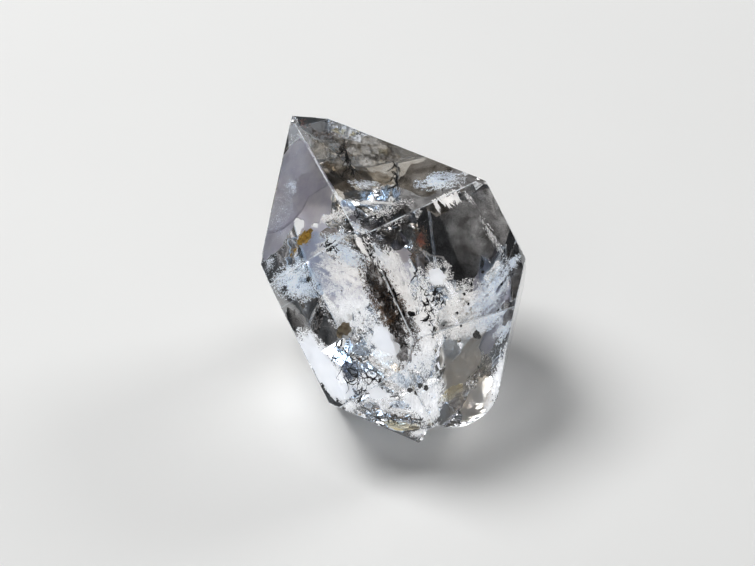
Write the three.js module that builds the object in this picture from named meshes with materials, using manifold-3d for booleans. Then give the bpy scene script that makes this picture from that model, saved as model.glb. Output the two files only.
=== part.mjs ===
import * as THREE from "three";
import { mergeVertices } from "three/addons/utils/BufferGeometryUtils.js";
import Module from "manifold-3d";

// Petroleum quartz: one clear crystal, pointed at both ends, with its lower point broken off.
// It is shaped standing on its long axis, +Z up that axis, +X right and +Y back, in millimetres.
// Every face lies at its own reach from one point near the middle, the heart.
// It then lies down on one of its lower pyramid faces.

// The angle of quartz: how far a pyramid face's normal leans up from level, in degrees.
const pyramidLean = 38.2;
const sideTurn = 60;

// One row for each of the six sides, counted anticlockwise from the left.
// reach: from the heart, millimetres. swing and lean: how far the face is off its ideal angle, degrees.
const upperFaces = [
  { reach: 5.2, swing: 0.5, lean: -1.5 },
  { reach: 5.25, swing: -1.5, lean: -1.5 },
  { reach: 5.4, swing: -0.5, lean: 0.5 },
  { reach: 5.95, swing: 0, lean: 0.5 },
  { reach: 5.45, swing: 0, lean: 0 },
  { reach: 5.55, swing: 0, lean: 0 },
];
const prismFaces = [
  { reach: 4.25, swing: -0.5, lean: 0 },
  { reach: 5.25, swing: -0.5, lean: 1 },
  { reach: 5.6, swing: 1.5, lean: -1 },
  { reach: 6.35, swing: 0, lean: 0 },
  { reach: 4.75, swing: 0, lean: 0 },
  { reach: 5.1, swing: 0, lean: 0 },
];
const lowerFaces = [
  { reach: 5.9, swing: -0.5, lean: -1.5 },
  { reach: 6.95, swing: 1, lean: 0.5 },
  { reach: 6.65, swing: -3, lean: -2.5 },
  { reach: 6.45, swing: -2.5, lean: -0.5 },
  { reach: 5.75, swing: 0, lean: 0 },
  { reach: 4.9, swing: -2.5, lean: -1.5 },
];

// It rests on this side's lower face, and is then turned this far about the vertical, degrees.
const restingSide = 5;
const heading = 8.2;

// Growth ledges: past a line across a face, the face lies lower by the drop.
// line: from the foot of the heart's normal. turn: which way the low side lies, from level, degrees.
const ledges = [
  { form: "prism", side: 3, line: 1.1, turn: 62, drop: 0.09 },
  { form: "prism", side: 4, line: 1.6, turn: 28, drop: 0.12 },
  { form: "prism", side: 4, line: 2.6, turn: -118, drop: 0.08 },
  { form: "prism", side: 5, line: 1.4, turn: -60, drop: 0.07 },
  { form: "upper", side: 4, line: 1.9, turn: 122, drop: 0.1 },
  { form: "upper", side: 0, line: 1.2, turn: -50, drop: 0.06 },
  { form: "lower", side: 4, line: 0.6, turn: -30, drop: 0.1 },
];

// The edges that are bruised, each from the corner of three faces to the next corner along it.
const edges = {
  front: { from: ["prism 1", "prism 2", "upper 2"], to: ["prism 1", "prism 2", "lower 2"] },
  peak: { from: ["upper 1", "upper 2", "upper 0"], to: ["upper 1", "upper 2", "prism 1"] },
  shoulder: { from: ["upper 2", "prism 2", "prism 3"], to: ["upper 2", "prism 2", "prism 1"] },
  back: { from: ["prism 4", "prism 5", "upper 4"], to: ["prism 4", "prism 5", "lower 5"] },
  foot: { from: ["prism 4", "lower 5", "lower 4"], to: ["prism 4", "lower 5", "prism 5"] },
  rear: { from: ["upper 3", "prism 4", "upper 4"], to: ["upper 3", "prism 4", "prism 3"] },
};

// Bruises: shallow round bites out of an edge. along: how far along it, as a share of its length.
const bruises = [
  { edge: "front", along: 0.04, radius: 0.5, bite: 0.1 },
  { edge: "front", along: 0.15, radius: 0.65, bite: 0.09 },
  { edge: "front", along: 0.3, radius: 0.4, bite: 0.06 },
  { edge: "peak", along: 0.02, radius: 0.45, bite: 0.16 },
  { edge: "shoulder", along: 0.02, radius: 0.7, bite: 0.1 },
  { edge: "back", along: 0.45, radius: 0.9, bite: 0.1 },
  { edge: "foot", along: 0.3, radius: 0.6, bite: 0.08 },
  { edge: "rear", along: 0.5, radius: 0.8, bite: 0.09 },
];

// The broken point, described upright as it is seen from the front: x right, y back, z up.
// The crystal's long axis leans left and away from that view by these angles, degrees.
const axisLean = { left: 26.8, away: 5.6 };
const broken = {
  knobX: 3.55,
  knobZ: -4.35,
  knobRadius: 2,
  knobLeft: 2.7,
  knobSteepest: 58,
  shelfLeft: 2.2,
  shelfZ: -6.13,
  shelfSlope: 0.32,
  spurZ: -6.62,
  spurSlope: 0.9,
};

// The break rises towards the back, dished, with ribs that spread from where it was struck.
const breakFace = {
  strikeX: 2.4,
  frontY: -3,
  rise: 0.16,
  dish: 0.035,
  ribHeight: 0.016,
  ribSpacing: 0.9,
};
const breakBlock = { left: 0.6, right: 7.2, front: -5, back: 5, floor: -14, step: 0.18 };

const blockSize = 40;
const crystalColour = 0xe9edf2;
const crystalRoughness = 0.06;

const radians = THREE.MathUtils.degToRad;
const wasm = await Module();
wasm.setup();

function solidFrom(geometry) {
  geometry.deleteAttribute("normal");
  geometry.deleteAttribute("uv");
  const merged = mergeVertices(geometry);
  return new wasm.Manifold(new wasm.Mesh({
    numProp: 3,
    vertProperties: new Float32Array(merged.attributes.position.array),
    triVerts: new Uint32Array(merged.index.array),
  }));
}

function geometryFrom(solid) {
  const mesh = solid.getMesh();
  const geometry = new THREE.BufferGeometry();
  geometry.setAttribute("position", new THREE.BufferAttribute(mesh.vertProperties, 3));
  geometry.setIndex(new THREE.BufferAttribute(mesh.triVerts, 1));
  geometry.computeVertexNormals();
  return geometry;
}

// A face as the direction that it looks and its reach from the heart.
function planeOf(face, side, idealLean) {
  const turn = radians(180 + sideTurn * side + face.swing);
  const lean = radians(idealLean + face.lean);
  const normal = new THREE.Vector3(
    Math.cos(lean) * Math.cos(turn),
    Math.cos(lean) * Math.sin(turn),
    Math.sin(lean),
  );
  return { normal, reach: face.reach };
}

function allPlanes() {
  const planes = {};
  const forms = [
    ["upper", upperFaces, pyramidLean],
    ["prism", prismFaces, 0],
    ["lower", lowerFaces, -pyramidLean],
  ];
  for (const [form, faces, idealLean] of forms) {
    faces.forEach((face, side) => {
      planes[`${form} ${side}`] = planeOf(face, side, idealLean);
    });
  }
  return planes;
}

// Turns +Z to look along a face's normal, and keeps +X level.
function onFace(plane) {
  const across = new THREE.Vector3(0, 0, 1).cross(plane.normal).normalize();
  const up = plane.normal.clone().cross(across);
  return new THREE.Matrix4().makeBasis(across, up, plane.normal);
}

function cutFace(solid, plane) {
  const waste = new THREE.BoxGeometry(blockSize, blockSize, blockSize);
  waste.translate(0, 0, plane.reach + blockSize / 2);
  waste.applyMatrix4(onFace(plane));
  return solid.subtract(solidFrom(waste));
}

function cutLedge(solid, plane, ledge) {
  const waste = new THREE.BoxGeometry(blockSize, blockSize, blockSize);
  waste.translate(ledge.line + blockSize / 2, 0, plane.reach - ledge.drop + blockSize / 2);
  waste.rotateZ(radians(ledge.turn));
  waste.applyMatrix4(onFace(plane));
  return solid.subtract(solidFrom(waste));
}

// The point where three faces meet.
function corner(planes, names) {
  const [a, b, c] = names.map((name) => planes[name]);
  const point = new THREE.Vector3();
  point.addScaledVector(b.normal.clone().cross(c.normal), a.reach);
  point.addScaledVector(c.normal.clone().cross(a.normal), b.reach);
  point.addScaledVector(a.normal.clone().cross(b.normal), c.reach);
  return point.divideScalar(a.normal.dot(b.normal.clone().cross(c.normal)));
}

function cutBruise(solid, planes, bruise) {
  const edge = edges[bruise.edge];
  const edgePoint = corner(planes, edge.from).lerp(corner(planes, edge.to), bruise.along);
  const [left, right] = edge.from;
  const outward = planes[left].normal.clone().add(planes[right].normal).normalize();
  const bite = new THREE.SphereGeometry(bruise.radius, 28, 20);
  bite.rotateX(radians(90 * bruise.along));
  const centre = edgePoint.addScaledVector(outward, bruise.radius - bruise.bite);
  bite.translate(centre.x, centre.y, centre.z);
  return solid.subtract(solidFrom(bite));
}

// The broken point's lower outline, as seen from the front: a spur, a short shelf and a round knob.
function outlineHeight(x) {
  if (x < broken.shelfLeft) {
    return broken.spurZ - broken.spurSlope * (broken.shelfLeft - x);
  }
  if (x < broken.knobLeft) {
    return broken.shelfZ - broken.shelfSlope * (broken.knobLeft - x);
  }
  const steepest = radians(broken.knobSteepest);
  const reach = Math.min(x - broken.knobX, broken.knobRadius * Math.sin(steepest));
  const past = x - broken.knobX - reach;
  return broken.knobZ - Math.sqrt(broken.knobRadius ** 2 - reach ** 2) + past * Math.tan(steepest);
}

function breakHeight(x, y) {
  const behind = y - breakFace.frontY;
  const fromStrike = Math.hypot(x - breakFace.strikeX, behind);
  const ribs = breakFace.ribHeight * Math.sin((2 * Math.PI * fromStrike) / breakFace.ribSpacing);
  return outlineHeight(x) + breakFace.rise * behind + breakFace.dish * behind ** 2 + ribs;
}

function cutBrokenPoint(solid) {
  const width = breakBlock.right - breakBlock.left;
  const depth = breakBlock.back - breakBlock.front;
  const columns = Math.round(width / breakBlock.step);
  const rows = Math.round(depth / breakBlock.step);
  const waste = new THREE.BoxGeometry(width, depth, 1, columns, rows, 1);
  waste.translate(breakBlock.left + width / 2, breakBlock.front + depth / 2, 0);
  const points = waste.attributes.position;
  for (let i = 0; i < points.count; i += 1) {
    const isTop = points.getZ(i) > 0;
    points.setZ(i, isTop ? breakHeight(points.getX(i), points.getY(i)) : breakBlock.floor);
  }
  waste.rotateY(radians(axisLean.left));
  waste.rotateX(radians(axisLean.away));
  return solid.subtract(solidFrom(waste));
}

function crystalGeometry(planes) {
  let solid = solidFrom(new THREE.BoxGeometry(blockSize, blockSize, blockSize));
  for (const plane of Object.values(planes)) {
    solid = cutFace(solid, plane);
  }
  for (const ledge of ledges) {
    solid = cutLedge(solid, planes[`${ledge.form} ${ledge.side}`], ledge);
  }
  for (const bruise of bruises) {
    solid = cutBruise(solid, planes, bruise);
  }
  return geometryFrom(cutBrokenPoint(solid));
}

// Lays the crystal on its resting face, with the origin under the middle of it.
function layDown(mesh, planes) {
  const down = new THREE.Vector3(0, 0, -1);
  const ontoFace = new THREE.Quaternion().setFromUnitVectors(planes[`lower ${restingSide}`].normal, down);
  const turned = new THREE.Quaternion().setFromAxisAngle(new THREE.Vector3(0, 0, 1), radians(heading));
  mesh.quaternion.copy(turned.multiply(ontoFace));
  const bounds = new THREE.Box3().setFromObject(mesh, true);
  const middle = bounds.getCenter(new THREE.Vector3());
  mesh.position.set(-middle.x, -middle.y, -bounds.min.z);
}

const planes = allPlanes();
const crystal = new THREE.Mesh(
  crystalGeometry(planes),
  new THREE.MeshStandardMaterial({
    color: crystalColour,
    roughness: crystalRoughness,
    metalness: 0,
    flatShading: true,
  }),
);
crystal.name = "quartz_crystal";
layDown(crystal, planes);

const part = new THREE.Group();
part.add(crystal);

export default part;
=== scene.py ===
import math
import random

import bmesh
import bpy
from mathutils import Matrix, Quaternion, Vector, noise
from mathutils.bvhtree import BVHTree


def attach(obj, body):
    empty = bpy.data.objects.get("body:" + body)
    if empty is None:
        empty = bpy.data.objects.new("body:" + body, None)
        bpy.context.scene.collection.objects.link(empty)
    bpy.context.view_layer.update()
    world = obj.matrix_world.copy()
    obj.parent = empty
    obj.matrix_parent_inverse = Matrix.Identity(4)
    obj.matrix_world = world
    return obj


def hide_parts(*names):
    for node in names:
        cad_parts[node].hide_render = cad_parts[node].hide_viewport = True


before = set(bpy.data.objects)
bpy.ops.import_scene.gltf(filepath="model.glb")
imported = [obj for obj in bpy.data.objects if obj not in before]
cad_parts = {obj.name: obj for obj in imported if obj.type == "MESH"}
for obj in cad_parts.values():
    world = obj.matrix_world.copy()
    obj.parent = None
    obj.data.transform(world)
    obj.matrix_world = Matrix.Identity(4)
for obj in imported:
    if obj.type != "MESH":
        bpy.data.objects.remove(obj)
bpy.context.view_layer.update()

# A petroleum quartz crystal: clear stone round bitumen specks, amber oil, milky veils and inner cracks.
# Blender's metres throughout; mm turns millimetres into them.
mm = 0.001

scene = bpy.context.scene

# The view of the photo. heart is the point inside the crystal that the camera looks at.
photoView = {
    "width": 755,
    "height": 566,
    "heart": Vector((-0.826, 0.712, 4.9)) * mm,
    "distance": 109.1 * mm,
    "elevation": 38.0,
    "lens": 114.4,
    "sensor": 36.0,
}

# The crystal's own long axis, as it lies: its turn about the vertical and its rise, degrees.
stoneAxis = {"turn": 125.8, "rise": 39.7}

stone = {
    "refraction": 1.544,
    "edgeWidth": 0.032 * mm,         # the fine worn edge between two faces
    "edgeAngle": 14.0,               # only edges sharper than this are worn
    "edgeLength": 0.2 * mm,          # and longer than this
    "edgeBeside": 0.2,               # and beside a face of at least this share of faceArea
    "edgeSegments": 2,
    "edgeProfile": 0.6,
    "weld": 0.0005 * mm,             # corners nearer to each other than this are one
    "flatWithin": 0.03,              # triangles this near to flat are one face, degrees
    "faceArea": 1.0 * mm * mm,       # facets larger than this are crystal faces
    "brokenTurn": 0.4,               # facets turned further than this from them all are broken, degrees
    "creaseAngle": 25.0,             # sharper creases in a break stay sharp
    "smoothing": 5,                  # how often the break's fine mesh is evened out
    "hackle": 0.003 * mm,            # how rough the break is
    "hackleLength": 0.7 * mm,
    "hackleNoise": (0.8, 2.2, 2),    # its smoothness, how much finer each layer is, and how many
}


# Camera and what it sees

def makeCamera():
    lean = math.radians(photoView["elevation"])
    back = Vector((0, -math.cos(lean), math.sin(lean)))
    lens = bpy.data.cameras.new("photoCamera")
    lens.lens = photoView["lens"]
    lens.sensor_width = photoView["sensor"]
    lens.clip_start = 5 * mm
    lens.clip_end = 10.0
    camera = bpy.data.objects.new("photoCamera", lens)
    camera.location = photoView["heart"] + back * photoView["distance"]
    camera.rotation_mode = "QUATERNION"
    camera.rotation_quaternion = (-back).to_track_quat("-Z", "Y")
    scene.collection.objects.link(camera)
    scene.camera = camera
    print("camera:", photoView["elevation"], "degrees above the floor")
    return camera


def sightLine(camera, x, y):
    # From a place in the photo to the direction in which the camera sees it.
    focal = photoView["lens"] / photoView["sensor"] * photoView["width"]
    ray = Vector(((x - photoView["width"] / 2) / focal, (photoView["height"] / 2 - y) / focal, -1))
    return (camera.rotation_quaternion @ ray).normalized()


def bent(direction, normal, ratio):
    # Snell's law at a face; normal looks back against the ray.
    into = -direction.dot(normal)
    rest = 1 - ratio * ratio * (1 - into * into)
    if rest < 0:
        return None
    return (direction * ratio + normal * (ratio * into - math.sqrt(rest))).normalized()


def wayOf(turn, rise):
    # The way that looks out at a turn about the vertical and at a rise, degrees.
    turn, rise = math.radians(turn), math.radians(rise)
    return Vector((math.cos(rise) * math.cos(turn), math.cos(rise) * math.sin(turn), math.sin(rise)))


# How places inside the stone are found. All but the shares are in mm.
inside = {
    "skin": 0.01,               # a sight line goes on this far under the face
    "thinnest": 0.3,            # no place is found where the stone is thinner
    "shares": (0.04, 0.96),     # the nearest and the farthest share of the way through
    "margin": 0.12,             # what a crack or film leaves free before a face
    "shortest": 0.02,           # the least that is left of one when it is drawn back
}


class StoneSpace:
    # The room inside the crystal: finds places in it as they are seen through its faces.
    def __init__(self, piece, camera):
        mesh = bmesh.new()
        mesh.from_mesh(piece.data)
        bmesh.ops.triangulate(mesh, faces=mesh.faces)
        self.tree = BVHTree.FromBMesh(mesh)
        mesh.free()
        self.camera = camera

    def seenAt(self, x, y, depth, least=None):
        # depth: the share of the way through the stone, from the near face to the far one.
        # least: how far under the near face it stays, mm, where it may lie close to it.
        ray = sightLine(self.camera, x, y)
        entry, normal, _, _ = self.tree.ray_cast(self.camera.location, ray)
        if entry is None:
            return None
        inward = bent(ray, normal, 1 / stone["refraction"])
        start = entry + inward * inside["skin"] * mm
        leaving, _, _, through = self.tree.ray_cast(start, inward)
        if leaving is None or through < inside["thinnest"] * mm:
            return None
        if least:
            return start + inward * max(through * depth, least * mm)
        nearest, farthest = inside["shares"]
        return start + inward * through * min(max(depth, nearest), farthest)

    def faceAt(self, x, y):
        # The way that the face looks which is seen there.
        _, normal, _, _ = self.tree.ray_cast(self.camera.location, sightLine(self.camera, x, y))
        return normal

    def held(self, centre, point):
        # Pulls a point back along its line from the centre until the stone covers it.
        margin = inside["margin"] * mm
        line = point - centre
        reach = line.length
        if reach < 1e-9:
            return point
        hit, _, _, away = self.tree.ray_cast(centre, line / reach)
        if hit is None or away - margin > reach:
            return point
        return centre + line / reach * max(away - margin, inside["shortest"] * mm)


# Shared mesh and material helpers

def pieceFrom(name, points, faces, material, smooth=False):
    mesh = bpy.data.meshes.new(name)
    mesh.from_pydata([tuple(point) for point in points], [], faces)
    mesh.update()
    mesh.materials.append(material)
    if smooth:
        mesh.polygons.foreach_set("use_smooth", [True] * len(mesh.polygons))
    piece = bpy.data.objects.new(name, mesh)
    scene.collection.objects.link(piece)
    return piece


def blankMaterial(name):
    material = bpy.data.materials.new(name)
    material.use_nodes = True
    nodes = material.node_tree.nodes
    shader = nodes["Principled BSDF"]
    return material, material.node_tree, shader


def addNode(tree, kind, **values):
    node = tree.nodes.new(kind)
    for key, value in values.items():
        node.inputs[key].default_value = value
    return node


def cloudNoise(tree, scale, detail, roughness=0.5):
    # Noise that stays fixed to the piece.
    where = addNode(tree, "ShaderNodeTexCoord")
    cloud = addNode(tree, "ShaderNodeTexNoise", Scale=scale, Detail=detail, Roughness=roughness)
    tree.links.new(where.outputs["Object"], cloud.inputs["Vector"])
    return cloud.outputs["Fac"]


def addBump(tree, shader, height, strength, depth):
    bump = addNode(tree, "ShaderNodeBump", Strength=strength, Distance=depth)
    tree.links.new(height, bump.inputs["Height"])
    tree.links.new(bump.outputs["Normal"], shader.inputs["Normal"])


def rampOf(tree, source, stops):
    # stops: pairs of a place from 0 to 1 and its colour.
    ramp = tree.nodes.new("ShaderNodeValToRGB")
    ramp.color_ramp.elements[0].position = stops[0][0]
    ramp.color_ramp.elements[0].color = (*stops[0][1], 1)
    ramp.color_ramp.elements[1].position = stops[-1][0]
    ramp.color_ramp.elements[1].color = (*stops[-1][1], 1)
    for place, colour in stops[1:-1]:
        ramp.color_ramp.elements.new(place).color = (*colour, 1)
    tree.links.new(source, ramp.inputs["Fac"])
    return ramp.outputs["Color"]


def grey(value):
    return (value, value, value)


# The clear stone

def clearQuartz():
    material, tree, shader = blankMaterial("clearQuartz")
    finish = {
        "bands": 1300.0,                    # growth lines on the prism faces, per metre
        "bandStretch": (0.12, 0.12, 1),     # drawn out across the long axis
        "bandStrength": 0.25,
        "bandDepth": 0.006 * mm,
        "swells": 420.0,                    # broad soft swells, per metre
        "swellStrength": 0.3,
        "swellDepth": 0.012 * mm,
        "frosting": 900.0,                  # dull spots, per metre
        "frost": [(0.55, grey(0.0)), (0.8, grey(0.05))],
        "clearness": (0.82, 0.88, 0.94, 1),
        "density": 16.0,
    }
    shader.inputs["Base Color"].default_value = (1, 1, 1, 1)
    shader.inputs["Transmission Weight"].default_value = 1
    shader.inputs["IOR"].default_value = stone["refraction"]
    where = addNode(tree, "ShaderNodeTexCoord")
    along = addNode(tree, "ShaderNodeMapping")
    turn = Quaternion((0, 0, 1), math.radians(stoneAxis["turn"])) @ Quaternion(
        (0, 1, 0), math.radians(90 - stoneAxis["rise"]))
    along.inputs["Rotation"].default_value = turn.inverted().to_euler()
    tree.links.new(where.outputs["Object"], along.inputs["Vector"])

    squash = addNode(tree, "ShaderNodeMapping", Scale=finish["bandStretch"])
    tree.links.new(along.outputs["Vector"], squash.inputs["Vector"])
    bands = addNode(tree, "ShaderNodeTexNoise", Scale=finish["bands"], Detail=3, Roughness=0.6)
    tree.links.new(squash.outputs["Vector"], bands.inputs["Vector"])
    swells = addNode(tree, "ShaderNodeTexNoise", Scale=finish["swells"], Detail=2, Roughness=0.45)
    tree.links.new(along.outputs["Vector"], swells.inputs["Vector"])
    bandBump = addNode(
        tree, "ShaderNodeBump", Strength=finish["bandStrength"], Distance=finish["bandDepth"])
    tree.links.new(bands.outputs["Fac"], bandBump.inputs["Height"])
    swellBump = addNode(
        tree, "ShaderNodeBump", Strength=finish["swellStrength"], Distance=finish["swellDepth"])
    tree.links.new(swells.outputs["Fac"], swellBump.inputs["Height"])
    tree.links.new(bandBump.outputs["Normal"], swellBump.inputs["Normal"])
    tree.links.new(swellBump.outputs["Normal"], shader.inputs["Normal"])

    frost = addNode(tree, "ShaderNodeTexNoise", Scale=finish["frosting"], Detail=5, Roughness=0.65)
    tree.links.new(along.outputs["Vector"], frost.inputs["Vector"])
    tree.links.new(rampOf(tree, frost.outputs["Fac"], finish["frost"]), shader.inputs["Roughness"])

    absorb = addNode(tree, "ShaderNodeVolumeAbsorption")
    absorb.inputs["Color"].default_value = finish["clearness"]
    absorb.inputs["Density"].default_value = finish["density"]
    output = tree.nodes["Material Output"]
    tree.links.new(absorb.outputs["Volume"], output.inputs["Volume"])
    return material


def wornAndHighlitQuartz():
    # The edges: rubbed white in places, still clear between them. The white is partly wear and partly a
    # painted highlight that stands in for the bright lines along the edges.
    material, tree, shader = blankMaterial("wornAndHighlitQuartz")
    finish = {
        "tint": (0.93, 0.96, 1.0, 1),
        "patches": 1500.0,      # rubbed patches, per metre
        "clear": [(0.36, grey(0.85)), (0.62, grey(0.25))],
        "dull": [(0.4, grey(0.12)), (0.62, grey(0.5))],
        "bump": 0.5,
        "bumpDepth": 0.01 * mm,
    }
    wear = cloudNoise(tree, finish["patches"], detail=6, roughness=0.7)
    shader.inputs["Base Color"].default_value = finish["tint"]
    shader.inputs["IOR"].default_value = stone["refraction"]
    tree.links.new(rampOf(tree, wear, finish["clear"]), shader.inputs["Transmission Weight"])
    tree.links.new(rampOf(tree, wear, finish["dull"]), shader.inputs["Roughness"])
    addBump(tree, shader, wear, finish["bump"], finish["bumpDepth"])
    return material


def brokenFaces(mesh, planes):
    # The facets that lie along none of the crystal's own faces.
    turned = math.radians(stone["brokenTurn"])
    return {
        face for face in mesh.faces
        if face.calc_area() < stone["faceArea"]
        and all(face.normal.angle(way, 0) > turned for way in planes)}


def smoothBreak(mesh, planes):
    # Splits the break's facets once, evens them out and gives them a fine hackle.
    broken = brokenFaces(mesh, planes)
    inner = [
        edge for edge in mesh.edges
        if edge.link_faces and all(face in broken for face in edge.link_faces)]
    bmesh.ops.subdivide_edges(mesh, edges=inner, cuts=1, use_grid_fill=True)
    mesh.normal_update()
    broken = brokenFaces(mesh, planes)
    crease = math.radians(stone["creaseAngle"])
    loose = [
        vertex for vertex in mesh.verts
        if all(face in broken for face in vertex.link_faces)
        and all(edge.calc_face_angle(0) < crease for edge in vertex.link_edges)]
    for _ in range(stone["smoothing"]):
        bmesh.ops.smooth_vert(
            mesh, verts=loose, factor=0.5, use_axis_x=True, use_axis_y=True, use_axis_z=True)
    mesh.normal_update()
    for vertex in loose:
        rough = noise.fractal(vertex.co / stone["hackleLength"], *stone["hackleNoise"])
        vertex.co += vertex.normal * rough * stone["hackle"]
    mesh.normal_update()
    return len(broken)


def makeCrystal():
    mesh = bmesh.new()
    mesh.from_mesh(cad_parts["quartz_crystal"].data)
    bmesh.ops.remove_doubles(mesh, verts=mesh.verts, dist=stone["weld"])
    bmesh.ops.dissolve_limit(
        mesh, angle_limit=math.radians(stone["flatWithin"]), verts=mesh.verts, edges=mesh.edges)
    planes = [face.normal.copy() for face in mesh.faces if face.calc_area() > stone["faceArea"]]
    broken = smoothBreak(mesh, planes)
    sharp = [
        edge for edge in mesh.edges
        if len(edge.link_faces) == 2
        and edge.calc_face_angle(0) > math.radians(stone["edgeAngle"])
        and max(face.calc_area() for face in edge.link_faces) > stone["edgeBeside"] * stone["faceArea"]
        and edge.calc_length() > stone["edgeLength"]
    ]
    # The bevelled edges take the second material, whose white is partly wear and partly a painted
    # highlight.
    bmesh.ops.bevel(
        mesh, geom=sharp, offset=stone["edgeWidth"], offset_type="OFFSET",
        segments=stone["edgeSegments"], profile=stone["edgeProfile"], affect="EDGES",
        clamp_overlap=False, miter_outer="SHARP", material=1)
    bmesh.ops.triangulate(mesh, faces=[face for face in mesh.faces if len(face.verts) > 4])
    bmesh.ops.recalc_face_normals(mesh, faces=mesh.faces)
    rough = brokenFaces(mesh, planes)
    for face in mesh.faces:
        face.smooth = face in rough and face.material_index == 0
    for edge in mesh.edges:
        edge.smooth = edge.calc_face_angle(0) < math.radians(stone["creaseAngle"])
    openEdges = sum(len(edge.link_faces) != 2 for edge in mesh.edges)
    data = bpy.data.meshes.new("clearCrystal")
    mesh.to_mesh(data)
    mesh.free()
    data.materials.append(clearQuartz())
    data.materials.append(wornAndHighlitQuartz())
    piece = bpy.data.objects.new("clearCrystal", data)
    scene.collection.objects.link(piece)
    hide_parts("quartz_crystal")
    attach(piece, "root")
    print("crystal:", len(planes), "faces and", broken, "broken facets,", len(data.polygons), "in all,",
          len(sharp), "worn edges,", openEdges, "open edges")
    return piece


# Bitumen specks

# The columns of a grain or a drop. seenAt: its place in the photo. depth: the share of the way through.
# size: mm. stretch: its length beside its width.
grainColumns = ("seenAt", "depth", "size", "stretch")
bitumen = {
    "named": [
        ((477, 335), 0.04, 0.2, 1.9),
        ((411.6, 314), 0.05, 0.15, 1.4),
        ((423.7, 279), 0.2, 0.07, 1.2),
        ((415.6, 298.6), 0.2, 0.07, 1.3),
        ((468.3, 304), 0.2, 0.06, 1.3),
        ((464.3, 294), 0.25, 0.07, 1.2),
        ((483, 272), 0.3, 0.08, 1.4),
        ((429.5, 325), 0.2, 0.06, 1.8),
        ((457, 313), 0.2, 0.06, 1.3),
        ((410, 390), 0.15, 0.13, 1.2),
        ((426, 388), 0.15, 0.12, 1.3),
        ((341, 150), 0.3, 0.16, 2.6),
        ((394, 173), 0.4, 0.1, 2.8),
        ((362, 216), 0.15, 0.09, 2.4),
    ],
    "rings": 14,
    "spokes": 20,
    "strewn": 90,
    "strewnSize": (0.012, 0.05),
    "strewnDepth": (0.08, 0.85),
    "strewnStretch": (1, 2.5),
    "strewnOver": {"x": (320, 500), "y": (215, 420)},
    "strewnRings": 5,
    "strewnSpokes": 7,
    "strewnShapes": 200,            # seed of the first one's shape
    "seed": 11,
    "tint": [(0.4, (0.002, 0.0015, 0.0015)), (0.8, (0.018, 0.01, 0.006))],
    "dull": [(0.3, grey(0.12)), (0.8, grey(0.35))],
    "gloss": 0.35,
    "grain": 9000.0,                # per metre
    "bump": 0.2,
    "bumpDepth": 0.006 * mm,
}

# Grains and drops are spheres with lumps: how high, for a radius of 1, and how close together.
lumps = {"height": 0.45, "closeness": 1.3, "noise": (0.9, 2.1, 3)}


def blobPoints(centre, size, stretch, seed, rings, spokes):
    # One lumpy grain: a sphere pulled long and pushed about by noise.
    random.seed(seed)
    pull = Vector((random.uniform(-1, 1), random.uniform(-1, 1), random.uniform(-1, 1))).normalized()
    offset = Vector((seed * 3.1, seed * 1.7, seed * 0.9))       # no two have the same lumps
    points = []
    for ring in range(1, rings):
        lift = math.pi * ring / rings
        for spoke in range(spokes):
            swing = 2 * math.pi * spoke / spokes
            way = Vector((
                math.sin(lift) * math.cos(swing), math.sin(lift) * math.sin(swing), math.cos(lift)))
            bulge = noise.fractal(way * lumps["closeness"] + offset, *lumps["noise"])
            lump = 1 + lumps["height"] * bulge
            points.append(centre + (way + pull * way.dot(pull) * (stretch - 1)) * size * lump)
    for end in (1, -1):
        way = Vector((0, 0, end))
        points.append(centre + (way + pull * way.dot(pull) * (stretch - 1)) * size)
    faces = []
    for ring in range(rings - 2):
        for spoke in range(spokes):
            a = ring * spokes + spoke
            b = ring * spokes + (spoke + 1) % spokes
            faces.append((a, a + spokes, b + spokes, b))
    top, bottom = len(points) - 2, len(points) - 1
    for spoke in range(spokes):
        after = (spoke + 1) % spokes
        faces.append((top, spoke, after))
        last = (rings - 2) * spokes
        faces.append((bottom, last + after, last + spoke))
    return points, faces


def addBlob(points, faces, blob):
    base = len(points)
    points.extend(blob[0])
    faces.extend(tuple(base + corner for corner in face) for face in blob[1])


def blackBitumen(name):
    material, tree, shader = blankMaterial(name)
    grain = cloudNoise(tree, bitumen["grain"], detail=4, roughness=0.6)
    tree.links.new(rampOf(tree, grain, bitumen["tint"]), shader.inputs["Base Color"])
    tree.links.new(rampOf(tree, grain, bitumen["dull"]), shader.inputs["Roughness"])
    shader.inputs["Specular IOR Level"].default_value = bitumen["gloss"]
    addBump(tree, shader, grain, bitumen["bump"], bitumen["bumpDepth"])
    return material


def makeSpecks(space):
    points, faces = [], []
    for number, row in enumerate(bitumen["named"]):
        speck = dict(zip(grainColumns, row))
        centre = space.seenAt(*speck["seenAt"], speck["depth"])
        if centre is None:
            continue
        size = speck["size"] * mm / math.sqrt(speck["stretch"])
        addBlob(points, faces, blobPoints(
            centre, size, speck["stretch"], number + 1, bitumen["rings"], bitumen["spokes"]))
    for number in range(bitumen["strewn"]):
        random.seed(bitumen["seed"] * 1000 + number)
        x = random.uniform(*bitumen["strewnOver"]["x"])
        y = random.uniform(*bitumen["strewnOver"]["y"])
        centre = space.seenAt(x, y, random.uniform(*bitumen["strewnDepth"]))
        if centre is not None:
            size = random.uniform(*bitumen["strewnSize"]) * mm
            stretch = random.uniform(*bitumen["strewnStretch"])
            addBlob(points, faces, blobPoints(
                centre, size, stretch, bitumen["strewnShapes"] + number,
                bitumen["strewnRings"], bitumen["strewnSpokes"]))
    piece = pieceFrom("bitumenSpecks", points, faces, blackBitumen("blackBitumen"), smooth=True)
    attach(piece, "root")
    print("bitumen specks:", len(faces), "faces")


# Oil drops

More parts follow.
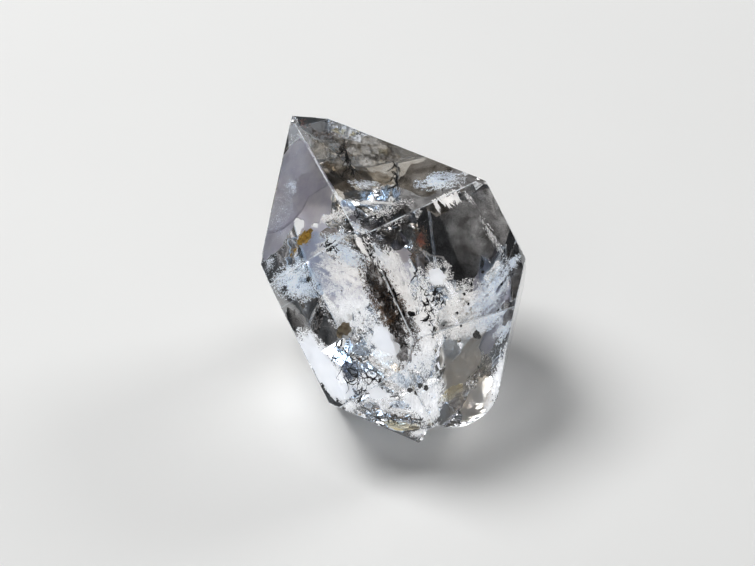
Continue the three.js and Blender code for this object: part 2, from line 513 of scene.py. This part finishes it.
oils = {
    "amberOil": {
        "deep": (0.6, 0.36, 0.06),
        "pale": (0.95, 0.72, 0.25),
        "clear": 0.6,
        "drops": [
            ((305, 237), 0.08, 0.3, 1.1),
            ((301, 241), 0.09, 0.2, 1.1),
            ((309, 232), 0.08, 0.15, 1.2),
            ((295, 250), 0.1, 0.09, 1.3),
            ((291, 255), 0.1, 0.06, 1.2),
        ],
    },
    "oliveOil": {
        "deep": (0.17, 0.13, 0.08),
        "pale": (0.5, 0.42, 0.29),
        "clear": 0.35,
        "drops": [
            ((344.5, 329), 0.1, 0.26, 1.2),
            ((340, 334), 0.11, 0.15, 1.3),
            ((433, 352), 0.3, 0.14, 1.6),
        ],
    },
}
oilFinish = {
    "rings": 14,
    "spokes": 20,
    "shapes": 60,           # seed of the first drop's shape
    "refraction": 1.12,
    "dull": 0.12,
    "clouds": 4200.0,       # per metre
    "bump": 0.3,
    "bumpDepth": 0.01 * mm,
}


def oilMaterial(name, oil):
    material, tree, shader = blankMaterial(name)
    cloud = cloudNoise(tree, oilFinish["clouds"], detail=4, roughness=0.6)
    tint = rampOf(tree, cloud, [(0.35, oil["deep"]), (0.7, oil["pale"])])
    tree.links.new(tint, shader.inputs["Base Color"])
    shader.inputs["Roughness"].default_value = oilFinish["dull"]
    shader.inputs["Transmission Weight"].default_value = oil["clear"]
    shader.inputs["IOR"].default_value = oilFinish["refraction"]
    addBump(tree, shader, cloud, oilFinish["bump"], oilFinish["bumpDepth"])
    return material


def makeOil(name, oil, space):
    points, faces = [], []
    for number, row in enumerate(oil["drops"]):
        drop = dict(zip(grainColumns, row))
        centre = space.seenAt(*drop["seenAt"], drop["depth"])
        if centre is not None:
            addBlob(points, faces, blobPoints(
                centre, drop["size"] * mm, drop["stretch"], oilFinish["shapes"] + number,
                oilFinish["rings"], oilFinish["spokes"]))
    piece = pieceFrom(name, points, faces, oilMaterial(name, oil), smooth=True)
    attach(piece, "root")
    print(name + ":", len(faces), "faces")


# Milky veils and stains: sheets of fine splinters, each sheet laid by where it is seen through the faces

# The columns of a sheet. at: its middle in the photo. half: half its length and width there, px.
# turn: degrees anticlockwise. depth: the share of the way through where it starts and where it ends.
# count and size: of its splinters, size in mm. streak: how far they lie along its length, from 0 to 1.
# least: how far under the near face they stay, mm.
sheetColumns = ("at", "half", "turn", "depth", "count", "size", "streak", "least")
# Each piece's splinters also give off light of their bright tint, though they are no lamp: painted light
# that whitens them.
veils = {
    "blueVeils": {
        "slot": "milky_veil",
        "material": "blueWhiteVeil",
        "shade": (0.68, 0.76, 0.87),
        "bright": (0.93, 0.965, 1.0),
        "paintedGlow": 0.2,
        "seed": 5,
        "sheets": [
            ((297, 283), (21, 16), -10, (0.08, 0.14), 4200, 0.032),
            ((283, 229), (18, 8), 80, (0.04, 0.07), 1500, 0.022, 0.3),
            ((292, 187), (5, 7), 0, (0.005, 0.01), 420, 0.026, 0, 0.08),
            ((298, 160), (11, 32), -8, (0.005, 0.01), 520, 0.018, 0, 0.07),
            ((282, 212), (12, 26), -14, (0.005, 0.01), 1500, 0.02, 0, 0.07),
            ((345, 252), (28, 9), -35, (0.12, 0.2), 1700, 0.026, 0.7),
            ((440, 181), (22, 8), 8, (0.06, 0.1), 1900, 0.03, 0.5),
            ((492, 291), (36, 12), 55, (0.25, 0.45), 4200, 0.022, 0.7),
            ((514, 262), (8, 5), 60, (0.06, 0.12), 520, 0.035),
            ((503, 330), (14, 6), 60, (0.2, 0.3), 600, 0.03, 0.6),
            ((269, 260), (6, 14), -12, (0.3, 0.4), 700, 0.026),
            ((366, 185), (16, 4), -8, (0.15, 0.2), 500, 0.024, 0.7),
        ],
    },
    "whiteVeils": {
        "slot": "milky_veil",
        "material": "whiteVeil",
        "shade": (0.78, 0.77, 0.77),
        "bright": (1.0, 0.985, 0.97),
        "paintedGlow": 0.25,
        "seed": 6,
        "sheets": [
            ((347, 272), (30, 20), -30, (0.18, 0.3), 4200, 0.028, 0.6),
            ((402, 290), (38, 10), -70, (0.12, 0.25), 3800, 0.03, 0.7),
            ((424, 312), (36, 9), -85, (0.15, 0.3), 2600, 0.03, 0.6),
            ((439, 273), (12, 11), 0, (0.12, 0.16), 2400, 0.024),
            ((437, 278), (8, 6), 20, (0.07, 0.09), 3000, 0.018),
            ((458, 305), (30, 18), 30, (0.2, 0.35), 4600, 0.027, 0.4),
            ((328, 217), (20, 5), 10, (0.06, 0.09), 1200, 0.024, 0.5),
            ((469, 198), (9, 2.2), -48, (0.2, 0.25), 150, 0.016, 0.9),
            ((493, 238), (22, 3.4), -60, (0.25, 0.35), 420, 0.015, 0.9),
            ((375, 203), (28, 2.0), -4, (0.1, 0.15), 500, 0.028, 0.9),
            ((388, 210), (22, 7), 20, (0.12, 0.2), 700, 0.026, 0.5),
            ((364, 249), (14, 3), -57, (0.03, 0.05), 700, 0.03, 0.6),
        ],
    },
    "lowerVeils": {
        "slot": "milky_veil",
        "material": "lowerVeil",
        "shade": (0.8, 0.81, 0.83),
        "bright": (0.98, 0.985, 1.0),
        "paintedGlow": 0.28,
        "seed": 7,
        "sheets": [
            ((384, 342), (17, 14), -50, (0.08, 0.16), 5200, 0.032, 0.1),
            ((352, 310), (30, 20), -40, (0.15, 0.25), 4200, 0.03, 0.3),
            ((412, 352), (26, 16), -75, (0.15, 0.35), 3000, 0.03, 0.5),
            ((325, 366), (38, 11), -56, (0.12, 0.3), 5200, 0.035, 0.4),
            ((375, 393), (30, 8), -20, (0.2, 0.3), 2200, 0.03, 0.3),
            ((499, 376), (40, 5), 70, (0.25, 0.5), 3600, 0.03, 0.6),
            ((430, 400), (24, 12), 70, (0.15, 0.4), 2400, 0.03, 0.8),
            ((418, 432), (8, 4), 20, (0.3, 0.5), 500, 0.03),
            ((338, 391), (12, 7), -40, (0.2, 0.4), 900, 0.032),
        ],
    },
    "brownStains": {
        "slot": "amber_oil",
        "material": "brownStain",
        "shade": (0.02, 0.013, 0.01),
        "bright": (0.26, 0.15, 0.08),
        "paintedGlow": 0.0,
        "seed": 8,
        "sheets": [
            ((386, 306), (44, 11), -62, (0.035, 0.09), 7600, 0.026, 0.4),
            ((345, 150), (26, 10), -60, (0.3, 0.5), 700, 0.022, 0.5),
            ((390, 175), (34, 12), -15, (0.3, 0.5), 900, 0.02, 0.4),
            ((420, 239), (12, 8), -80, (0.15, 0.3), 700, 0.025, 0.4),
            ((397, 416), (26, 4), -12, (0.1, 0.2), 900, 0.022, 0.4),
            ((430, 352), (14, 9), 20, (0.2, 0.3), 300, 0.025),
            ((413, 258), (3, 6), -20, (0.03, 0.05), 260, 0.02),
            ((345, 329), (8, 8), 0, (0.03, 0.05), 320, 0.018),
            ((306, 238), (5, 8), -35, (0.03, 0.05), 110, 0.018),
        ],
    },
    "rustStains": {
        "slot": "amber_oil",
        "material": "rustStain",
        "shade": (0.2, 0.04, 0.025),
        "bright": (0.5, 0.17, 0.11),
        "paintedGlow": 0.02,
        "seed": 9,
        "sheets": [
            ((304, 124), (6, 5), 0, (0.03, 0.06), 180, 0.016),
            ((421, 240), (4, 7), 10, (0.03, 0.05), 620, 0.02),
        ],
    },
    "goldStains": {
        "slot": "amber_oil",
        "material": "goldStain",
        "shade": (0.4, 0.2, 0.015),
        "bright": (0.85, 0.55, 0.08),
        "paintedGlow": 0.05,
        "seed": 10,
        "sheets": [
            ((305, 237), (6, 10), -35, (0.03, 0.06), 1000, 0.018),
            ((294, 251), (3, 9), -35, (0.04, 0.07), 260, 0.016),
        ],
    },
}
splinter = {
    "long": 2.2,            # its length and thickness beside its width
    "thin": 0.22,
    "back": 0.4,            # how far it reaches back beside how far it reaches ahead
    "sizes": (0.3, 1.0),    # least and greatest beside its sheet's size
    "longer": 1.6,          # how much a full streak draws it out
    "straight": 0.75,       # how much a full streak straightens it
}
spread = {
    "middle": 0.55,         # how closely splinters gather round the middle of a sheet
    "outer": 1.25,          # where a sheet ends, in half lengths
    "clumps": 0.14,         # clumps for each pixel
    "drawnOut": 0.1,        # how much a full streak draws the clumps out, and narrows them
    "narrowed": 0.3,
    "sparse": (-0.5, 0.2),  # the higher these are, the more room between the clumps is bare
    "slope": 0.4,           # how far the depth follows a place's way along the sheet
    "scatter": 0.03,        # stray and wave in depth, as shares of the way through
    "wave": 0.05,
    "waves": 0.05,          # waves for each pixel
    "reading": 3,           # the way of the streaks is read so many px off the middle
}

veilFinish = {"clouds": 1300.0, "dull": 0.35}      # clouds: per metre

# The white feather that hangs from the edge between a top face and a front face.
feather = {
    "start": (434, 204),
    "end": (458, 194),
    "spikes": 26,
    "turn": (-85, -30),
    "reach": (2.5, 6.5),
    "wide": (0.6, 1.3),
    "count": 18,            # splinters for each pixel of a spike's reach
    "size": 0.026,
    "streak": 0.9,
    "depth": (0.015, 0.04),
    "seed": 17,
}


def featherSheets():
    random.seed(feather["seed"])
    sheets = []
    for _ in range(feather["spikes"]):
        root = Vector(feather["start"]).lerp(Vector(feather["end"]), random.random())
        turn = random.uniform(*feather["turn"])
        reach = random.uniform(*feather["reach"])
        middle = root + Vector((math.cos(math.radians(turn)), -math.sin(math.radians(turn)))) * reach / 2
        half = (reach, random.uniform(*feather["wide"]))
        count = int(feather["count"] * reach)
        sheets.append((
            tuple(middle), half, turn, feather["depth"], count, feather["size"], feather["streak"]))
    return sheets


def splinterPoints(centre, size, way, side, long):
    # A thin closed splinter with four points.
    up = way.cross(side)
    return [
        centre + way * size * long,
        centre - way * size * long * splinter["back"] + side * size,
        centre - way * size * long * splinter["back"] - side * size,
        centre + up * size * splinter["thin"],
    ]


def anyWay():
    return Vector((random.gauss(0, 1), random.gauss(0, 1), random.gauss(0, 1))).normalized()


def veilSpot(sheet):
    # A place in the sheet, thinning out from its middle and gathered in clumps or streaks.
    turn = math.radians(sheet["turn"])
    streak = sheet.get("streak", 0)
    while True:
        along, across = random.gauss(0, spread["middle"]), random.gauss(0, spread["middle"])
        if math.hypot(along, across) > spread["outer"]:
            continue
        x = along * sheet["half"][0]
        y = across * sheet["half"][1]
        fine = Vector((
            x * (spread["clumps"] - spread["drawnOut"] * streak),
            y * (spread["clumps"] + spread["narrowed"] * streak), sheet["at"][0]))
        if noise.noise(fine) > random.uniform(*spread["sparse"]):
            spotX = sheet["at"][0] + x * math.cos(turn) + y * math.sin(turn)
            spotY = sheet["at"][1] - x * math.sin(turn) + y * math.cos(turn)
            return spotX, spotY, along


def streakWay(sheet, space):
    # The way that a sheet's streaks run inside the stone, from two places along its length.
    turn = math.radians(sheet["turn"])
    step = Vector((math.cos(turn), -math.sin(turn))) * spread["reading"]
    depth = sum(sheet["depth"]) / 2
    ends = [
        space.seenAt(sheet["at"][0] + step.x * side, sheet["at"][1] + step.y * side, depth)
        for side in (-1, 1)]
    if None in ends:
        return Vector((0, 0, 1))
    return (ends[1] - ends[0]).normalized()


def veilMaterial(veil):
    material, tree, shader = blankMaterial(veil["material"])
    cloud = cloudNoise(tree, veilFinish["clouds"], detail=4, roughness=0.6)
    tint = rampOf(tree, cloud, [(0.35, veil["shade"]), (0.62, veil["bright"])])
    tree.links.new(tint, shader.inputs["Base Color"])
    shader.inputs["Roughness"].default_value = veilFinish["dull"]
    # Painted light: the splinters give off light of their bright tint though they are no lamp.
    shader.inputs["Emission Color"].default_value = (*veil["bright"], 1)
    shader.inputs["Emission Strength"].default_value = veil["paintedGlow"]
    return material


def makeVeil(name, veil, space):
    random.seed(veil["seed"])
    points, faces = [], []
    for row in veil["sheets"]:
        sheet = dict(zip(sheetColumns, row))
        near, far = sheet["depth"]
        streak = sheet.get("streak", 0)
        grain = streakWay(sheet, space)
        long = splinter["long"] * (1 + splinter["longer"] * streak)
        for _ in range(sheet["count"]):
            x, y, along = veilSpot(sheet)
            wave = noise.noise(Vector((x * spread["waves"], y * spread["waves"], 3)))
            share = near + (far - near) * (0.5 + spread["slope"] * along)
            share += random.gauss(0, spread["scatter"]) + spread["wave"] * wave
            centre = space.seenAt(x, y, share, sheet.get("least"))
            if centre is None:
                continue
            way = (anyWay() * (1 - splinter["straight"] * streak) + grain * streak).normalized()
            side = way.cross(anyWay()).normalized()
            size = sheet["size"] * mm * random.uniform(*splinter["sizes"])
            base = len(points)
            points.extend(splinterPoints(centre, size, way, side, long))
            faces.extend([(base, base + 2, base + 1), (base, base + 1, base + 3),
                          (base + 1, base + 2, base + 3), (base + 2, base, base + 3)])
    piece = pieceFrom(name, points, faces, veilMaterial(veil))
    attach(piece, "root")
    print(name + ":", len(faces), "faces")


# Dark seams: thin jagged threads of bitumen along healed cracks

# The columns of a net. start and end: the line that its threads keep to in the photo. wide: how far
# they stray from it, px. threads: how many. run: a thread's length, px. depth: the share of the way
# through. thick: beside the others.
netColumns = ("start", "end", "wide", "threads", "run", "depth", "thick")
seams = {
    "nets": [
        ((330, 346), (362, 380), 8, 28, 15, 0.05, 1.2),
        ((332, 344), (368, 386), 9, 18, 22, 0.035, 1.3),
        ((313, 304), (328, 338), 4, 26, 8, 0.07),
        ((368, 282), (404, 345), 6, 36, 8, 0.04, 1.3),
        ((418, 285), (432, 328), 8, 24, 8, 0.06, 1.2),
        ((426, 298), (432, 326), 1.5, 10, 12, 0.05, 1.8),
        ((323, 242), (336, 248), 3, 22, 6, 0.05, 1.4),
        ((342, 142), (350, 168), 1.8, 16, 14, 0.06, 2.0),
        ((392, 158), (396, 186), 1.0, 11, 14, 0.06, 1.8),
        ((368, 378), (400, 402), 6, 22, 7, 0.06, 1.5),
        ((372, 416), (422, 421), 2.5, 30, 8, 0.06, 1.5),
        ((434, 287), (440, 303), 5, 26, 6, 0.06, 1.5),
        ((411, 252), (417, 276), 2, 13, 7, 0.05),
        ((346, 196), (366, 222), 6, 20, 9, 0.08, 1.3),
        ((363, 238), (404, 322), 1.4, 24, 13, 0.03, 1.5),
    ],
    "steps": 6,
    "paces": (0.5, 1.5),        # least and greatest beside the mean step
    "stray": 0.6,               # how much of wide most threads keep within
    "heading": 0.5,             # how far a thread starts off its line, and turns at each step, radians
    "turning": 0.45,
    "depths": (0.8, 1.6),       # least and greatest beside its net's depth
    "thick": (0.008 * mm, 0.03 * mm),
    "tip": 0.25,                # how thick its ends are beside its middle
    "jagged": (0.6, 1.3),
    "seed": 31,
}


def threadPoints(space, net):
    # A thread that wanders along its net's line; None where it would leave the stone.
    start, end = Vector(net["start"]), Vector(net["end"])
    line = (end - start).normalized()
    beside = Vector((-line.y, line.x))
    spot = start.lerp(end, random.random()) + beside * random.gauss(0, net["wide"] * seams["stray"])
    heading = math.atan2(line.y, line.x) + random.gauss(0, seams["heading"])
    depth = net["depth"] * random.uniform(*seams["depths"])
    middle = []
    for _ in range(seams["steps"]):
        middle.append(space.seenAt(spot.x, spot.y, depth))
        step = net["run"] / seams["steps"] * random.uniform(*seams["paces"])
        heading += random.gauss(0, seams["turning"])
        spot = spot + Vector((math.cos(heading), math.sin(heading))) * step
    return None if None in middle else middle


def makeSeams(space):
    random.seed(seams["seed"])
    points, faces = [], []
    for row in seams["nets"]:
        net = dict(zip(netColumns, row))
        for _ in range(net["threads"]):
            middle = threadPoints(space, net)
            thick = random.uniform(*seams["thick"]) * net.get("thick", 1)
            if middle is None:
                continue
            base = len(points)
            last = len(middle) - 1
            for number, spot in enumerate(middle):
                ahead = (middle[min(number + 1, last)] - middle[max(number - 1, 0)]).normalized()
                side = ahead.orthogonal().normalized()
                swell = seams["tip"] + math.sin(math.pi * (number + 0.5) / len(middle))
                reach = thick * swell * random.uniform(*seams["jagged"])
                for corner in range(3):
                    swing = Quaternion(ahead, 2 * math.pi * corner / 3)
                    points.append(spot + swing @ side * reach)
            for number in range(last):
                for corner in range(3):
                    a = base + number * 3 + corner
                    b = base + number * 3 + (corner + 1) % 3
                    faces.append((a, b, b + 3, a + 3))
            faces.append((base + 2, base + 1, base))
            faces.append((base + last * 3, base + last * 3 + 1, base + last * 3 + 2))
    piece = pieceFrom("darkSeams", points, faces, blackBitumen("seamBitumen"))
    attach(piece, "root")
    print("dark seams:", len(faces), "faces")


# Lens-shaped sheets inside the stone: cracks are gaps of air that flash silver, films are stained layers

# at and depth: where the middle is seen, and the share of the way through. least: how far under the
# near face it stays, mm. faces: the turn and rise of the way it looks, degrees. One with none lies along
# the crystal face that it is seen through. radius: half its width, mm. long: its length beside that.
# spin: its turn in itself, degrees, or towards: the place in the photo that its length points to.
# wave: how wavy it is beside the others.
cracks = {
    "lenses": [
        {"at": (362, 205), "depth": 0.3, "faces": (20, 70), "radius": 0.9, "long": 1.7, "spin": 0},
        {"at": (388, 206), "depth": 0.35, "faces": (-30, 50), "radius": 0.8, "long": 1.6, "spin": 20},
        {"at": (372, 396), "depth": 0.45, "faces": (-70, 35), "radius": 1.0, "long": 1.6, "spin": -30},
        {"at": (395, 330), "depth": 0.45, "faces": (-110, 20), "radius": 1.4, "long": 1.7, "spin": 60},
        {"at": (430, 300), "depth": 0.5, "faces": (-80, -10), "radius": 1.3, "long": 1.6, "spin": 70},
        {"at": (494, 296), "depth": 0.5, "faces": (-50, 25), "radius": 1.0, "long": 2.0, "spin": 60},
        {"at": (320, 275), "depth": 0.4, "faces": (-120, 40), "radius": 1.1, "long": 1.3, "spin": 0},
        {"at": (415, 385), "depth": 0.4, "faces": (-60, 60), "radius": 1.2, "long": 1.6, "spin": 80},
        {"at": (385, 415), "depth": 0.4, "faces": (-100, 70), "radius": 0.8, "long": 2.2, "spin": -20},
        {"at": (340, 165), "depth": 0.5, "faces": (-40, 60), "radius": 0.8, "long": 1.4, "spin": -50},
    ],
    "rings": 18,
    "spokes": 72,
    "open": 0.02 * mm,
    "wave": 0.18 * mm,
    "waveLength": 0.8 * mm,
    "ripple": 0.014 * mm,
    "rippleLength": 0.2 * mm,
}
films = {
    "brownFilm": {
        "slot": "amber_oil",
        "tint": (0.5, 0.44, 0.36),
        "blur": 0.15,
        "clear": 0.94,
        "lenses": [
            {"at": (388, 163), "depth": 0.25, "faces": (-80, 50), "radius": 1.6, "long": 2.2, "spin": -25},
            {"at": (352, 178), "depth": 0.35, "faces": (-85, 55), "radius": 0.9, "long": 2.0, "spin": -20},
            {"at": (340, 180), "depth": 0.45, "faces": (-95, 45), "radius": 0.9, "long": 1.6, "spin": -60},
            {"at": (395, 240), "depth": 0.4, "faces": (-75, 45), "radius": 0.9, "long": 1.6, "spin": -20},
            {"at": (466, 372), "depth": 0.5, "faces": (-70, 45), "radius": 1.1, "long": 1.7, "spin": 75},
        ],
    },
    "smokyFilm": {
        "slot": "bitumen",
        "tint": (0.13, 0.12, 0.115),
        "blur": 0.1,
        "clear": 0.97,
        "lenses": [
            {"at": (470, 232), "depth": 0.5, "faces": (-88, 40), "radius": 2.3, "long": 1.4, "spin": -60},
            {"at": (394, 232), "depth": 0.2, "faces": (-80, 42), "radius": 0.75, "long": 1.7, "spin": 25},
            {"at": (338, 182), "depth": 0.3, "faces": (-85, 45), "radius": 0.55, "long": 1.5, "spin": -50},
            {"at": (295, 321), "depth": 0.35, "faces": (-105, 40), "radius": 0.42, "long": 1.5,
             "spin": -55},
            {"at": (507, 308), "depth": 0.2, "faces": (-80, 40), "radius": 0.22, "long": 2.0, "spin": 65},
            {"at": (517, 276), "depth": 0.25, "faces": (-70, 40), "radius": 0.45, "long": 2.8, "spin": 80},
            {"at": (381, 291), "towards": (400, 340), "depth": 0.014, "radius": 0.42, "long": 3.2,
             "wave": 0.1},
            {"at": (398, 338), "towards": (404, 362), "depth": 0.014, "radius": 0.36, "long": 2.6,
             "wave": 0.1},
        ],
    },
    "yellowFilm": {
        "slot": "amber_oil",
        "tint": (0.95, 0.84, 0.55),
        "blur": 0.2,
        "clear": 0.9,
        "lenses": [
            {"at": (452, 392), "depth": 0.3, "faces": (-80, 45), "radius": 0.28, "long": 2.6, "spin": 25},
            {"at": (402, 425), "depth": 0.3, "faces": (-90, 45), "radius": 0.25, "long": 3.2, "spin": -8},
        ],
    },
    "milkyFilm": {
        "slot": "milky_veil",
        "tint": (0.68, 0.66, 0.75),
        "blur": 0.5,
        "clear": 0.7,
        "lenses": [
            {"at": (297, 178), "depth": 0.015, "least": 0.13, "radius": 1.9, "long": 2.2, "spin": 75,
             "wave": 0.05},
            {"at": (275, 238), "depth": 0.02, "least": 0.16, "radius": 0.75, "long": 1.6, "spin": 80,
             "wave": 0.05},
            {"at": (313, 200), "towards": (300, 150), "depth": 0.02, "least": 0.16, "radius": 1.1,
             "long": 1.3, "wave": 0.05},
            {"at": (340, 272), "depth": 0.4, "faces": (-95, 40), "radius": 1.3, "long": 1.5, "spin": -35},
            {"at": (492, 290), "depth": 0.5, "faces": (-60, 40), "radius": 0.8, "long": 2.2, "spin": 55},
        ],
    },
    "whiteFilm": {
        "slot": "milky_veil",
        "tint": (0.8, 0.83, 0.88),
        "blur": 0.5,
        "clear": 0.5,
        # It gives off light of its pale tint though it is no lamp: painted light.
        "paintedGlow": 0.25,
        "lenses": [
            {"at": (437, 276), "depth": 0.03, "radius": 0.36, "long": 1.2, "spin": 20, "wave": 0.1},
            {"at": (386, 341), "towards": (398, 356), "depth": 0.03, "radius": 0.5, "long": 1.5,
             "wave": 0.1},
            {"at": (321, 367), "towards": (342, 402), "depth": 0.02, "least": 0.12, "radius": 0.55,
             "long": 3.0, "wave": 0.05},
            {"at": (345, 391), "towards": (360, 397), "depth": 0.04, "radius": 0.3, "long": 1.7,
             "wave": 0.1},
            {"at": (376, 393), "towards": (392, 399), "depth": 0.04, "radius": 0.3, "long": 1.6,
             "wave": 0.1},
        ],
    },
    "sandFilm": {
        "slot": "milky_veil",
        "tint": (0.8, 0.74, 0.66),
        "blur": 0.4,
        "clear": 0.8,
        "lenses": [
            {"at": (462, 350), "depth": 0.35, "faces": (-75, 40), "radius": 1.0, "long": 2.0, "spin": 70},
            {"at": (478, 400), "depth": 0.3, "faces": (-60, 45), "radius": 0.7, "long": 1.6, "spin": 40},
        ],
    },
}
filmFinish = {"clouds": 1500.0, "refraction": 1.04, "paler": 0.3}      # clouds: per metre
filmShape = {
    "rings": 12,
    "spokes": 48,
    "open": 0.04 * mm,
    "wave": 0.3 * mm,
    "waveLength": 1.6 * mm,
    "ripple": 0.012 * mm,
    "rippleLength": 0.3 * mm,
}

# The rims of cracks and films: how ragged they are, how closely, and how far they gape.
lensRim = {"ragged": 0.4, "closeness": 1.8, "noise": (0.8, 2.3, 4), "open": 0.0008 * mm}


def lensPoints(space, lens, shape, number):
    centre = space.seenAt(*lens["at"], lens["depth"], lens.get("least"))
    if "faces" in lens:
        facing = wayOf(*lens["faces"])
    else:
        facing = space.faceAt(*lens["at"])
    if "towards" in lens:
        across = space.seenAt(*lens["towards"], lens["depth"]) - centre
        across = (across - facing * across.dot(facing)).normalized()
    else:
        across = Vector((0, 0, 1)).cross(facing).normalized()
        across.rotate(Quaternion(facing, math.radians(lens["spin"])))
    down = facing.cross(across)
    shift = Vector((number * 7.3, number * 2.9, number * 5.1))      # no two have the same waves
    near, far = [], []
    for ring in range(shape["rings"] + 1):
        share = ring / shape["rings"]
        for spoke in range(shape["spokes"]):
            swing = 2 * math.pi * spoke / shape["spokes"]
            outward = Vector((math.cos(swing), math.sin(swing), 0))
            bulge = noise.fractal(outward * lensRim["closeness"] + shift, *lensRim["noise"])
            reach = lens["radius"] * mm * share * (1 + lensRim["ragged"] * bulge)
            flat = centre + across * outward.x * reach * lens["long"] + down * outward.y * reach
            wave = noise.noise(flat / shape["waveLength"] + shift) * shape["wave"] * lens.get("wave", 1)
            wave += noise.noise(flat / shape["rippleLength"] + shift) * shape["ripple"] * share
            spot = space.held(centre, flat + facing * wave)
            half = shape["open"] / 2 * (1 - share ** 3) + lensRim["open"]
            near.append(spot + facing * half)
            far.append(spot - facing * half)
    return near, far


def makeLenses(name, lenses, shape, material, space, hollow=False):
    # hollow: the faces look into the gap, so that the stone ends there and air begins.
    points, faces = [], []
    spokes = shape["spokes"]
    for number, lens in enumerate(lenses):
        near, far = lensPoints(space, lens, shape, number)
        base = len(points)
        points.extend(near + far)
        other = len(near)
        rim = base + shape["rings"] * spokes
        for spoke in range(spokes):
            after = (spoke + 1) % spokes
            for ring in range(shape["rings"]):
                a = base + ring * spokes + spoke
                b = base + ring * spokes + after
                faces.append((a, b, b + spokes, a + spokes))
                faces.append((a + other, a + spokes + other, b + spokes + other, b + other))
            faces.append((rim + spoke, rim + after, rim + after + other, rim + spoke + other))
    if not hollow:
        faces = [face[::-1] for face in faces]
    piece = pieceFrom(name, points, faces, material, smooth=True)
    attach(piece, "root")
    print(name + ":", len(faces), "faces")


def filmMaterial(name, film):
    material, tree, shader = blankMaterial(name)
    cloud = cloudNoise(tree, filmFinish["clouds"], detail=5, roughness=0.65)
    pale = tuple(value ** filmFinish["paler"] for value in film["tint"])
    colour = rampOf(tree, cloud, [(0.35, film["tint"]), (0.7, pale)])
    tree.links.new(colour, shader.inputs["Base Color"])
    shader.inputs["Transmission Weight"].default_value = film["clear"]
    shader.inputs["IOR"].default_value = filmFinish["refraction"]
    shader.inputs["Roughness"].default_value = film["blur"]
    # Painted light: a film with a strength set gives off light of its pale tint though it is no lamp.
    shader.inputs["Emission Color"].default_value = (*pale, 1)
    shader.inputs["Emission Strength"].default_value = film.get("paintedGlow", 0)
    return material


# Floor and light

studio = {
    "floorSide": 4.0,           # metres
    "floorTint": (0.80, 0.80, 0.79),
    "floorShade": 0.985,        # how dark its faint mottle is beside its tint
    "floorGrain": 60.0,
    "floorDull": 0.7,
    "floorDrop": 0.002 * mm,    # it lies this far under the crystal
    "air": (0.9, 0.95, 1.0),
    "airLight": 0.055,
    "lamps": [
        {"name": "overheadSoftbox", "turn": 150, "rise": 58, "away": 0.30, "side": 0.16, "power": 0.85},
        {"name": "sideSoftbox", "turn": 35, "rise": 30, "away": 0.34, "side": 0.12, "power": 0.35},
        {"name": "frontFill", "turn": -110, "rise": 40, "away": 0.40, "side": 0.16, "power": 0.16},
    ],
}


def paleFloor():
    material, tree, shader = blankMaterial("paleFloor")
    mottle = cloudNoise(tree, studio["floorGrain"], detail=3)
    low = tuple(value * studio["floorShade"] for value in studio["floorTint"])
    tint = rampOf(tree, mottle, [(0.3, low), (0.7, studio["floorTint"])])
    tree.links.new(tint, shader.inputs["Base Color"])
    shader.inputs["Roughness"].default_value = studio["floorDull"]
    half = studio["floorSide"] / 2
    corners = [(-half, -half, 0), (half, -half, 0), (half, half, 0), (-half, half, 0)]
    floor = pieceFrom("paleFloor", corners, [(0, 1, 2, 3)], material)
    floor.location.z = -studio["floorDrop"]
    print("floor:", studio["floorSide"], "m square")


def makeLight():
    world = bpy.data.worlds.new("softAir")
    world.use_nodes = True
    background = world.node_tree.nodes["Background"]
    background.inputs["Color"].default_value = (*studio["air"], 1)
    background.inputs["Strength"].default_value = studio["airLight"]
    scene.world = world
    for lamp in studio["lamps"]:
        light = bpy.data.lights.new(lamp["name"], "AREA")
        light.shape = "SQUARE"
        light.size = lamp["side"]
        light.energy = lamp["power"]
        way = wayOf(lamp["turn"], lamp["rise"])
        holder = bpy.data.objects.new(lamp["name"], light)
        holder.location = photoView["heart"] + way * lamp["away"]
        holder.rotation_mode = "QUATERNION"
        holder.rotation_quaternion = (-way).to_track_quat("-Z", "Y")
        scene.collection.objects.link(holder)
    print("light:", len(studio["lamps"]), "lamps")


def setBounces():
    scene.cycles.max_bounces = 24
    scene.cycles.transmission_bounces = 24
    scene.cycles.glossy_bounces = 16
    scene.cycles.sample_clamp_indirect = 6.0
    scene.cycles.blur_glossy = 0.3
    scene.view_settings.view_transform = "Standard"


camera = makeCamera()
crystal = makeCrystal()
stoneSpace = StoneSpace(crystal, camera)
makeSpecks(stoneSpace)
for name, oil in oils.items():
    makeOil(name, oil, stoneSpace)
makeSeams(stoneSpace)
veils["whiteVeils"]["sheets"] += featherSheets()        # the feather is part of them
for name, veil in veils.items():
    makeVeil(name, veil, stoneSpace)
makeLenses(
    "innerCracks", cracks["lenses"], cracks, crystal.data.materials[0], stoneSpace,
    hollow=True)
for name, film in films.items():
    makeLenses(name, film["lenses"], filmShape, filmMaterial(name, film), stoneSpace)
paleFloor()
makeLight()
setBounces()
